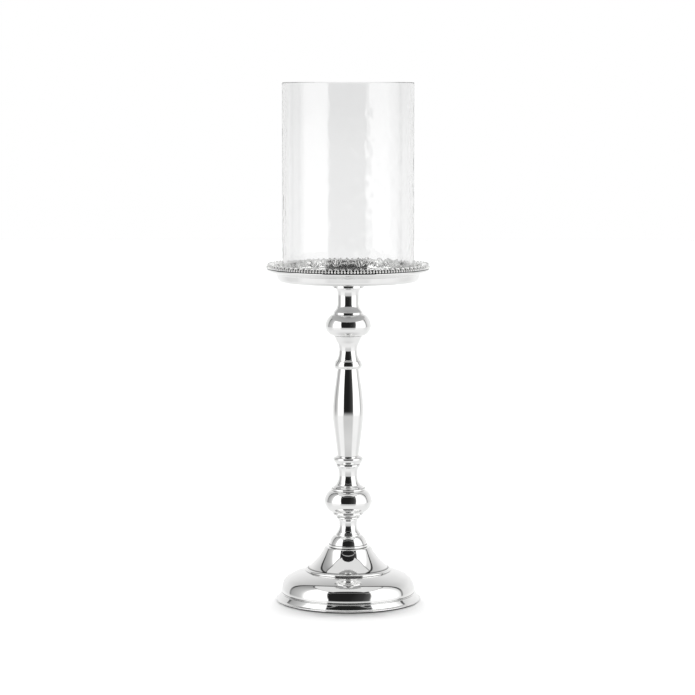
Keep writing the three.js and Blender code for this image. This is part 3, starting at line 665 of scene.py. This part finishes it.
def capital(base, height):
    edge, waist, ring, neck = 15.8, 11.25, reach("capital"), 15.2
    line = Outline(base, edge - EDGE)
    line.bend((edge, 0.0), (edge, 0.2))
    line.line(edge - 0.2, 2.3)
    line.bend((edge - 0.22, 2.5), (edge - 0.5, 2.6))
    line.curve((13.3, 5.1), (waist, 7.4), (waist, 11.6))
    line.line(waist, 19.2)
    line.curve((waist, 23.4), (12.0, 26.2), (13.8, 28.0))
    line.line(ring - 0.3, 28.2)
    line.bend((ring, 28.2), (ring, 28.5))
    line.line(ring, 31.2)
    line.bend((ring, 31.45), (ring - 0.3, 31.45))
    line.line(neck, 31.5)
    line.line(neck, height)
    return line


STEM = [
    ("foot_cap", foot_cap), ("lower_neck", lower_neck), ("lower_knop", lower_knop),
    ("waist_spool", waist_spool), ("baluster_cup", baluster_cup), ("baluster", baluster),
    ("baluster_collar", baluster_collar), ("upper_spool", upper_spool), ("upper_knop", upper_knop),
    ("capital", capital),
]
NUT_RISE = 1.7  # top of the nut over the underside of the pan's floor
PAN_SEAT = crest("pan_nut") - NUT_RISE


def stem():
    seats = [seat(node) for node, draw in STEM] + [PAN_SEAT]
    for (node, draw), low, high in zip(STEM, seats, seats[1:]):
        height = high - low - SEAM
        outline = draw(low, height)
        mesh = turned(node, bored(outline, low + height), STEM_SIDES, outline.creases)
        show("polished_" + node, mesh, "polished_silver", stands_for=[node])


# The pan, and what stands on its flange

WELL = 10.8  # radius of the sunk middle that takes the nut
WELL_DEPTH = 3.8
SLEEVE_HOLE = 6.7
SHADE_PLAY = 1.0  # between the glass and the corner of the pan
FLANGE = 10.0  # width of the sloping flange
WALL_TOP = 8.0  # heights over the underside
BRIM_LOW = 11.7


def pan_section():
    brim, floor = reach("pan"), reach("glass_shade") + SHADE_PLAY
    wall = brim - FLANGE
    line = Outline(PAN_SEAT, SLEEVE_HOLE, -WELL_DEPTH)
    line.line(WELL - 0.4, -WELL_DEPTH)
    line.bend((WELL, -WELL_DEPTH), (WELL, -WELL_DEPTH + 0.4))
    line.line(WELL, 0.0)
    line.line(floor, 0.0)
    line.curve((floor + 2.4, 0.0), (wall - 1.3, 1.6), (wall - 0.9, 4.0))
    line.line(wall - 0.15, WALL_TOP - 0.7)
    line.bend((wall, WALL_TOP), (wall + 0.7, WALL_TOP + 0.26))
    line.line(brim - 1.6, BRIM_LOW - 0.6)
    line.curve((brim - 0.6, BRIM_LOW - 0.2), (brim - 0.15, BRIM_LOW + 0.5), (brim, BRIM_LOW + 1.5))
    line.line(brim - 0.1, BRIM_LOW + 1.7)
    return [*line.points, *reversed(inner_side(line.points, PAN_SHEET))]


def pan():
    """The pan, polished except under its flat floor, which is rougher and has shade painted into its colour.
    """
    mesh = turned("pan", pan_section(), WIDE_SIDES)
    dull_and_shaded = mesh.attributes.new("dull_and_shaded", "FLOAT", "POINT")
    slack = 0.1  # so that rounding leaves no point out
    floor = reach("glass_shade") + SHADE_PLAY + slack
    for vertex, mark in zip(mesh.vertices, dull_and_shaded.data):
        under = vertex.co.z < (PAN_SEAT + slack) * MM
        mark.value = 1.0 if under and vertex.co.xy.length < floor * MM else 0.0
    show("polished_pan", mesh, "polished_silver", stands_for=["pan"])


# The nut in the pan's well, with a hole for a hexagonal key

NUT_SIDES = 96
NUT_HEAD = 3.2
NUT_EDGE = 0.8  # rounding of the head
NUT_SLEEVE = 6.2
KEY_FLATS = 6.0
KEY_DEPTH = 1.7
KEY_CHAMFER = 0.25


def pan_nut():
    edge, top, key = reach("pan_nut"), crest("pan_nut"), KEY_FLATS / 2
    sleeve_end = seat("pan_nut") - top
    line = Outline(top, 0.0, -KEY_DEPTH)
    line.line(key, -KEY_DEPTH)
    line.line(key, -KEY_CHAMFER)
    line.line(key + KEY_CHAMFER, 0.0)
    line.line(edge - NUT_EDGE, 0.0)
    line.bend((edge, 0.0), (edge, -NUT_EDGE))
    line.line(edge, -NUT_HEAD)
    line.line(NUT_SLEEVE, -NUT_HEAD)
    line.line(NUT_SLEEVE, sleeve_end)
    line.line(0.0, sleeve_end)
    mesh = turned("pan_nut", line.points, NUT_SIDES)
    for vertex in mesh.vertices:
        across = vertex.co.xy
        if vertex.co.z > (top - NUT_HEAD) * MM and across.length < (key + 2 * KEY_CHAMFER) * MM:
            turn = math.atan2(across.y, across.x) % (math.pi / 3) - math.pi / 6
            vertex.co.xy = across / math.cos(turn)
    mesh.set_sharp_from_angle(angle=SHARP)
    show("polished_pan_nut", mesh, "polished_silver", stands_for=["pan_nut"])


# Trees of Geometry Nodes for what repeats round the pan, and for the ripple of the glass

BALL_SIDES = 8  # of beads and berries


def new_tree(name, sizes):
    """A tree with a geometry input and a named input for each size, and its input sockets."""
    tree = bpy.data.node_groups.new(name, "GeometryNodeTree")
    sockets = tree.interface
    sockets.new_socket("Geometry", in_out="INPUT", socket_type="NodeSocketGeometry")
    for size, value in sizes.items():
        kind = "NodeSocketInt" if isinstance(value, int) else "NodeSocketFloat"
        sockets.new_socket(size, in_out="INPUT", socket_type=kind)
    sockets.new_socket("Geometry", in_out="OUTPUT", socket_type="NodeSocketGeometry")
    return tree, tree.nodes.new("NodeGroupInput").outputs


def end_tree(tree, geometry, finish):
    """Makes the copies real, smooth, and of that finish."""
    whole = add(tree, "GeometryNodeRealizeInstances", {"Geometry": geometry})
    smooth = add(tree, "GeometryNodeSetShadeSmooth", {"Geometry": whole.outputs[0]})
    inputs = {"Geometry": smooth.outputs[0], "Material": FINISHES[finish]}
    dressed = add(tree, "GeometryNodeSetMaterial", inputs)
    add(tree, "NodeGroupOutput", {"Geometry": dressed.outputs[0]})


def grown(name, tree, base, sizes):
    """The plain mesh that a tree makes of a base mesh, with all faces outwards."""
    carrier = bpy.data.objects.new(name, base)
    bpy.context.scene.collection.objects.link(carrier)
    modifier = carrier.modifiers.new(name, "NODES")
    modifier.node_group = tree
    for socket in tree.interface.items_tree:
        if socket.name in sizes:
            modifier[socket.identifier] = sizes[socket.name]
    evaluated = carrier.evaluated_get(bpy.context.evaluated_depsgraph_get())
    mesh = bpy.data.meshes.new_from_object(evaluated)
    bpy.data.objects.remove(carrier)
    work = bmesh.new()
    work.from_mesh(mesh)
    return closed(work, mesh)


def position(tree):
    place = tree.nodes.new("GeometryNodeInputPosition").outputs[0]
    return add(tree, "ShaderNodeSeparateXYZ", {"Vector": place}).outputs


def vector(tree, x=0.0, y=0.0, z=0.0):
    return add(tree, "ShaderNodeCombineXYZ", {"X": x, "Y": y, "Z": z}).outputs[0]


def moved(tree, geometry, **changes):
    inputs = {"Geometry": geometry, **{name.capitalize(): value for name, value in changes.items()}}
    return add(tree, "GeometryNodeTransform", inputs).outputs[0]


def scaled(tree, direction, length):
    return add(tree, "ShaderNodeVectorMath", {0: direction, "Scale": length}, operation="SCALE").outputs[0]


def ball(tree, radius, rings):
    inputs = {"Segments": BALL_SIDES, "Rings": rings, "Radius": radius}
    return add(tree, "GeometryNodeMeshUVSphere", inputs).outputs[0]


def joined(tree, pieces):
    node = tree.nodes.new("GeometryNodeJoinGeometry")
    for piece in pieces:
        tree.links.new(piece, node.inputs[0])
    return node.outputs[0]


def darkened(tree, geometry, depth):
    """Stores how deep each point lies in the ornament, from 0 on top to 1 in the recess; on the rim band it
    also holds the shade painted at the beads.
    """
    inputs = {"Geometry": geometry, "Name": "recess", "Value": depth}
    return add(tree, "GeometryNodeStoreNamedAttribute", inputs, data_type="FLOAT").outputs[0]


def depth_along(tree, value, deep, high):
    """Depth in the ornament, from where it is darkest up to where it is polished."""
    return brought(tree, value, deep * MM, high * MM, first=1.0, last=0.0)


def in_a_ring(tree, piece, count, radius, height, size, turn=0.0):
    """Copies of a piece round the axis, each with its X outwards and its Z up."""
    circle = add(tree, "GeometryNodeMeshCircle", {"Vertices": count, "Radius": radius}).outputs[0]
    lifted = moved(tree, circle, translation=vector(tree, z=height), rotation=vector(tree, z=turn))
    place = position(tree)
    facing = vector(tree, z=math_node(tree, "ARCTAN2", place["Y"], place["X"]))
    inputs = {"Points": lifted, "Instance": piece, "Rotation": facing, "Scale": size}
    return add(tree, "GeometryNodeInstanceOnPoints", inputs).outputs[0]


def uneven_size(tree, seed, least, most):
    """A random size for each copy, as hand chasing leaves it."""
    node = tree.nodes.new("FunctionNodeRandomValue")
    node.inputs[2].default_value = least  # the sockets for numbers, among others of the same names
    node.inputs[3].default_value = most
    tree.links.new(seed, node.inputs[8])
    return node.outputs[1]


def stroke(tree, curve, thick, taper, sides):
    """A rounded bar along a curve, thinner where the taper says so."""
    along = tree.nodes.new("GeometryNodeSplineParameter").outputs["Factor"]
    bar = add(tree, "GeometryNodeCurvePrimitiveCircle", {"Resolution": sides, "Radius": thick}).outputs[0]
    scale = ramp(tree, along, taper, "EASE")
    inputs = {"Curve": curve, "Profile Curve": bar, "Scale": scale, "Fill Caps": True}
    return add(tree, "GeometryNodeCurveToMesh", inputs).outputs[0]


# Rim: a row of small arches over a row of beads, on a band darkened by patina, with shade painted at the
# beads

RIM_INNER = 3.7  # from the edge of the flange to the inner side of the band
ARCHES = 80  # each on two beads
BEAD = 1.4
RIM_SIZES = {
    "Beads": 2 * ARCHES,
    "Bead radius": BEAD * MM,
    "Bead ring": (reach("bead_rim") - BEAD) * MM,
    "Bead height": (PAN_SEAT + 15.2) * MM,
    "Arches": ARCHES,
    "Arch half width": 1.67 * MM,
    "Arch rise": 3.1 * MM,
    "Arch stroke": 0.75 * MM,
    "Arch ring": (reach("bead_rim") - 1.3) * MM,
    "Arch lean": math.radians(12),
    "Arch turn": math.pi / (2 * ARCHES),
    "Band top": (PAN_SEAT + 17.6) * MM,
    "Band inner": (reach("pan") - 2.5) * MM,
    "Band outer": (reach("pan") - 1.8) * MM,
    "Seed": 3,
}
EVEN = [(0.0, 1.0), (1.0, 1.0)]
BEAD_RINGS, ARCH_STEPS, ARCH_SIDES = 6, 11, 6
BEAD_RECESS = (-1.3, -0.3)  # towards the band
BAND_PATINA_AND_SHADE = (1.0, 0.6)  # at the beads, where shade is painted, and at the top, where patina stays
UNEVEN_BEADS, UNEVEN_ARCHES = (0.95, 1.03), (0.97, 1.03)


def rim_band():
    edge = reach("pan")
    inner, low = edge - RIM_INNER, BRIM_LOW + 2.25
    line = Outline(PAN_SEAT, inner, low - 1.25)
    line.line(edge - 0.6, low)
    line.curve((edge - 1.6, low + 0.8), (edge - 1.6, low + 1.6), (edge - 1.2, low + 2.4))
    line.line(edge - 1.5, low + 3.2)
    line.bend((edge - 1.7, low + 3.9), (edge - 2.4, low + 3.9))
    line.bend((inner, low + 3.7), (inner, low + 2.4))
    return turned("rim_band", line.points, WIDE_SIDES)


def bead_rim():
    tree, size = new_tree("beads_and_arches", RIM_SIZES)
    bead = ball(tree, size["Bead radius"], BEAD_RINGS)
    bead = darkened(tree, bead, depth_along(tree, position(tree)["X"], *BEAD_RECESS))
    uneven = uneven_size(tree, size["Seed"], *UNEVEN_BEADS)
    beads = in_a_ring(tree, bead, size["Beads"], size["Bead ring"], size["Bead height"], uneven)
    arc = {"Resolution": ARCH_STEPS, "Radius": 1.0, "Start Angle": 0.0, "Sweep Angle": math.pi}
    half = add(tree, "GeometryNodeCurveArc", arc).outputs[0]
    half = moved(tree, half, scale=vector(tree, size["Arch half width"], size["Arch rise"], 1.0))
    half = moved(tree, half, rotation=(math.pi / 2, 0.0, math.pi / 2))
    half = moved(tree, half, rotation=vector(tree, y=math_node(tree, "MULTIPLY", size["Arch lean"], -1.0)))
    arch = darkened(tree, stroke(tree, half, size["Arch stroke"], EVEN, ARCH_SIDES), 0.0)
    uneven = uneven_size(tree, size["Seed"], *UNEVEN_ARCHES)
    arches = in_a_ring(
        tree, arch, size["Arches"], size["Arch ring"], size["Bead height"], uneven, size["Arch turn"]
    )
    place = position(tree)
    # the band is darkest down at the beads: shade painted under them, over its patina
    ground_darkening = brought(tree, place["Z"], size["Bead height"], size["Band top"], *BAND_PATINA_AND_SHADE)
    radius = add(tree, "ShaderNodeVectorMath", {0: vector(tree, place["X"], place["Y"])}, operation="LENGTH")
    outside = smooth_step(tree, radius.outputs["Value"], size["Band inner"], size["Band outer"])
    band = darkened(tree, size["Geometry"], math_node(tree, "MULTIPLY", ground_darkening, outside))
    end_tree(tree, joined(tree, [band, beads, arches]), "oxidised_silver")
    mesh = grown("beaded_rim", tree, rim_band(), RIM_SIZES)
    show("beaded_rim", mesh, "oxidised_silver", stands_for=["bead_rim"])


# Border: palmettes between pairs of scrolls, with small leaves between them, on a polished slope

BORDER_FOOT = (-1.9, 9.5)  # where the slope starts, outside the wall and over the underside
BORDER_SHOULDER = (1.9, 16.8)  # where it ends
BORDER_BACK = (6.6, 16.7)  # its outer edge
CREST = 17.5
BORDER_SIZES = {
    "Motifs": 18,
    "Foot ring": (reach("pan") - FLANGE + BORDER_FOOT[0]) * MM,
    "Foot height": (PAN_SEAT + BORDER_FOOT[1]) * MM,
    "Slope": math.atan2(BORDER_SHOULDER[1] - BORDER_FOOT[1], BORDER_SHOULDER[0] - BORDER_FOOT[0]),
    "Slope top": (PAN_SEAT + BORDER_SHOULDER[1]) * MM,
    "Crest": (PAN_SEAT + CREST) * MM,
    "Middle leaf": 1.8 * MM,
    "Side leaf": 1.5 * MM,
    "Small leaf": 1.45 * MM,
    "Scroll": 1.0 * MM,
    "Berry": 1.25 * MM,
    "Seed": 5,
}
LEAF_TAPER = [(0.0, 0.4), (0.45, 1.0), (0.85, 0.7), (1.0, 0.12)]
SCROLL_TAPER = [(0.0, 1.3), (0.25, 0.8), (1.0, 0.7)]
HALF_PITCH = 13.5  # of the motifs, at the middle of the slope
# Leaves as stalk, two handles and tip: up the slope, sideways and out of it
MIDDLE_LEAF = ((0.3, 0.0, 0.5), (3.0, 0.0, 1.8), (6.6, 0.0, 1.5), (10.2, 0.0, 2.6))
SIDE_LEAVES = [
    ((0.6, 1.5, 0.5), (3.6, 2.1, 1.8), (5.6, 3.9, 1.5), (9.5, 6.1, 2.4)),
    ((0.6, 2.5, 0.5), (1.8, 3.8, 1.6), (2.6, 5.7, 1.4), (5.0, 7.1, 2.0)),
]
SMALL_LEAF = [(up, HALF_PITCH, out) for up, out in ((1.2, 0.5), (3.6, 1.6), (6.2, 1.5), (10.0, 2.4))]
LEAF_STEPS, LEAF_SIDES = 10, 7
SCROLL_STEPS, SCROLL_SIDES, SCROLL_TURNS = 12, 5, 1.3
SCROLL_INNER, SCROLL_OUTER = 0.5, 2.6  # radii of its spiral
SCROLL_EYE = (3.4, 10.0, 0.6)
BERRIES = [SCROLL_EYE, (7.8, 9.6, 0.7)]
BERRY_RINGS = 5
FLATNESS = 0.32  # of the whole relief
LEAF_RECESS = (-0.8, 0.2)  # out of the slope
SLOPE_SOOT = (0.12, 0.0)  # on the slope and at the crest
UNEVEN_MOTIFS = (0.97, 1.03)


def border_slope():
    wall = reach("pan") - FLANGE
    inner, shoulder, back = (wall + place[0] for place in (BORDER_FOOT, BORDER_SHOULDER, BORDER_BACK))
    line = Outline(PAN_SEAT, inner, WALL_TOP + 1.4)
    line.line(inner, BORDER_FOOT[1])
    line.line(shoulder, BORDER_SHOULDER[1])
    line.bend((shoulder + 0.4, CREST), (shoulder + 1.3, CREST))
    line.line(back, BORDER_BACK[1])
    line.line(back, WALL_TOP + 4.3)
    return turned("border_slope", line.points, WIDE_SIDES)


def leaf(tree, knots, thick):
    names = ("Start", "Start Handle", "End Handle", "End")
    places = {name: Vector(knot) * MM for name, knot in zip(names, knots)}
    inputs = {"Resolution": CURVE_STEPS, **places}
    spine = add(tree, "GeometryNodeCurvePrimitiveBezierSegment", inputs).outputs[0]
    spine = add(tree, "GeometryNodeResampleCurve", {"Curve": spine, "Count": LEAF_STEPS}).outputs[0]
    return stroke(tree, spine, thick, LEAF_TAPER, LEAF_SIDES)


def berry(tree, place, radius):
    return moved(tree, ball(tree, radius, BERRY_RINGS), translation=Vector(place) * MM)


def bent(tree, motif, radius):
    """A flat motif bent round the axis, by the square of the way aside."""
    aside = position(tree)["Y"]
    across = math_node(tree, "MULTIPLY", radius, -2.0)
    inwards = math_node(tree, "DIVIDE", math_node(tree, "MULTIPLY", aside, aside), across)
    inputs = {"Geometry": motif, "Offset": vector(tree, inwards)}
    return add(tree, "GeometryNodeSetPosition", inputs).outputs[0]


def relief_border():
    tree, size = new_tree("palmettes_and_scrolls", BORDER_SIZES)
    radii = {"Start Radius": SCROLL_INNER * MM, "End Radius": SCROLL_OUTER * MM}
    spiral = {"Resolution": SCROLL_STEPS, "Rotations": SCROLL_TURNS, "Height": 0.0, **radii}
    curl = add(tree, "GeometryNodeCurveSpiral", spiral).outputs[0]
    curl = moved(tree, curl, translation=Vector(SCROLL_EYE) * MM)
    half = [leaf(tree, knots, size["Side leaf"]) for knots in SIDE_LEAVES]
    half += [berry(tree, place, size["Berry"]) for place in BERRIES]
    half.append(stroke(tree, curl, size["Scroll"], SCROLL_TAPER, SCROLL_SIDES))
    half = joined(tree, half)
    other_half = moved(tree, half, scale=(1.0, -1.0, 1.0))
    middle = leaf(tree, MIDDLE_LEAF, size["Middle leaf"])
    between = leaf(tree, SMALL_LEAF, size["Small leaf"])
    motif = joined(tree, [half, other_half, middle, between])
    motif = moved(tree, motif, scale=(1.0, 1.0, FLATNESS))
    motif = darkened(tree, motif, depth_along(tree, position(tree)["Z"], *LEAF_RECESS))
    motif = moved(tree, motif, rotation=vector(tree, y=math_node(tree, "MULTIPLY", size["Slope"], -1.0)))
    motif = bent(tree, motif, size["Foot ring"])
    uneven = uneven_size(tree, size["Seed"], *UNEVEN_MOTIFS)
    motifs = in_a_ring(tree, motif, size["Motifs"], size["Foot ring"], size["Foot height"], uneven)
    ground_darkening = brought(tree, position(tree)["Z"], size["Slope top"], size["Crest"], *SLOPE_SOOT)
    slope = darkened(tree, size["Geometry"], ground_darkening)
    end_tree(tree, joined(tree, [slope, motifs]), "oxidised_silver")
    mesh = grown("leaf_border", tree, border_slope(), BORDER_SIZES)
    show("leaf_border", mesh, "oxidised_silver", stands_for=["relief_border"])


# Glass: a straight cylinder with a ripple, deepest on one side, that fades towards its rim and its seat

SHADE_WALL = 4.0
SHADE_ROWS = 110
RIPPLE_SIDE = (0.31, -0.95, 0.0)  # where the ripple is deepest
RIPPLE_SPREAD = 8.0  # how soon it calms down away from there
RIPPLE_SIZES = {
    "Depth": 0.2 * MM,
    "Deeper": 8.0,  # times more on that side
    "Ring": reach("glass_shade") * MM,
    "Wave": 8.0 * MM,
    "Stretch": 1.3,
    "Low": seat("glass_shade") * MM,
    "High": crest("glass_shade") * MM,
    "Fade": 22.0 * MM,
    "Seed": 11,
}


def shade_section():
    base, outer = seat("glass_shade"), reach("glass_shade")
    height, inner = crest("glass_shade") - base, outer - SHADE_WALL
    foot, lip = 1.0, 1.3  # roundings at the seat and at the rim
    rows = [foot + (height - foot - lip) * row / SHADE_ROWS for row in range(1, SHADE_ROWS + 1)]
    line = Outline(base, inner + foot)
    line.line(outer - foot, 0.0)
    line.bend((outer, 0.0), (outer, foot))
    for row in rows:
        line.line(outer, row)
    line.bend((outer, height), (outer - lip, height))
    line.line(inner + lip, height)
    line.bend((inner, height), (inner, height - lip))
    for row in reversed(rows[:-1]):
        line.line(inner, row)
    line.line(inner, foot)
    line.bend((inner, 0.0), (inner + foot, 0.0))
    return line.points[:-1]


def glass_shade():
    tree, size = new_tree("glass_ripple", RIPPLE_SIZES)
    place = position(tree)
    flat = vector(tree, place["X"], place["Y"])
    out = add(tree, "ShaderNodeVectorMath", {0: flat}, operation="NORMALIZE").outputs[0]
    spot = scaled(tree, out, math_node(tree, "DIVIDE", size["Ring"], size["Wave"]))
    tall_wave = math_node(tree, "MULTIPLY", size["Wave"], size["Stretch"])
    spot = together(tree, "ADD", spot, vector(tree, z=math_node(tree, "DIVIDE", place["Z"], tall_wave)))
    inputs = {"Vector": spot, "W": size["Seed"], "Scale": 1.0, "Detail": 1.0}
    wave = add(tree, "ShaderNodeTexNoise", inputs, noise_dimensions="4D").outputs["Fac"]
    swing = math_node(tree, "MULTIPLY", math_node(tree, "SUBTRACT", wave, 0.5), size["Depth"])
    facing = add(tree, "ShaderNodeVectorMath", {0: out, 1: RIPPLE_SIDE}, operation="DOT_PRODUCT")
    facing = math_node(tree, "MAXIMUM", facing.outputs["Value"], 0.0)
    deeper = math_node(tree, "POWER", facing, RIPPLE_SPREAD)
    deeper = math_node(tree, "ADD", math_node(tree, "MULTIPLY", deeper, size["Deeper"]), 1.0)
    swing = math_node(tree, "MULTIPLY", swing, deeper)
    above = smooth_step(tree, math_node(tree, "SUBTRACT", place["Z"], size["Low"]), 0.0, size["Fade"])
    below = smooth_step(tree, math_node(tree, "SUBTRACT", size["High"], place["Z"]), 0.0, size["Fade"])
    swing = math_node(tree, "MULTIPLY", swing, math_node(tree, "MULTIPLY", above, below))
    inputs = {"Geometry": size["Geometry"], "Offset": scaled(tree, out, swing)}
    rippled = add(tree, "GeometryNodeSetPosition", inputs).outputs[0]
    end_tree(tree, rippled, "clear_glass")
    plain = turned("plain_glass", shade_section(), WIDE_SIDES)
    mesh = grown("rippled_glass", tree, plain, RIPPLE_SIZES)
    show("rippled_glass_shade", mesh, "clear_glass", body="shade", stands_for=["glass_shade"])


FELT_SEAM = 0.2  # left over the felt


def felt_pad():
    edge, top = reach("felt_pad"), crest("felt_pad") - FELT_SEAM
    line = Outline(0.0, 0.0)
    line.line(edge - 0.4, 0.0)
    line.bend((edge, 0.0), (edge, 0.5))
    line.line(edge, top)
    line.line(0.0, top)
    show("soft_felt_pad", turned("felt_pad", line.points, WIDE_SIDES), "felt", stands_for=["felt_pad"])


def hidden_pieces():
    """CAD nodes that keep their shape take their finish from the record."""
    for part in frame["record"]["subparts"]:
        node = frame["nodes"][part["node"]]
        if not node.hide_render:
            node.data.materials.clear()
            node.data.materials.append(FINISHES[part["material_slot"]])


bpy.context.scene.view_settings.view_transform = "Standard"
photo_camera()
studio_world()
pale_floor()
felt_pad()
foot()
stem()
pan()
pan_nut()
bead_rim()
relief_border()
glass_shade()
hidden_pieces()
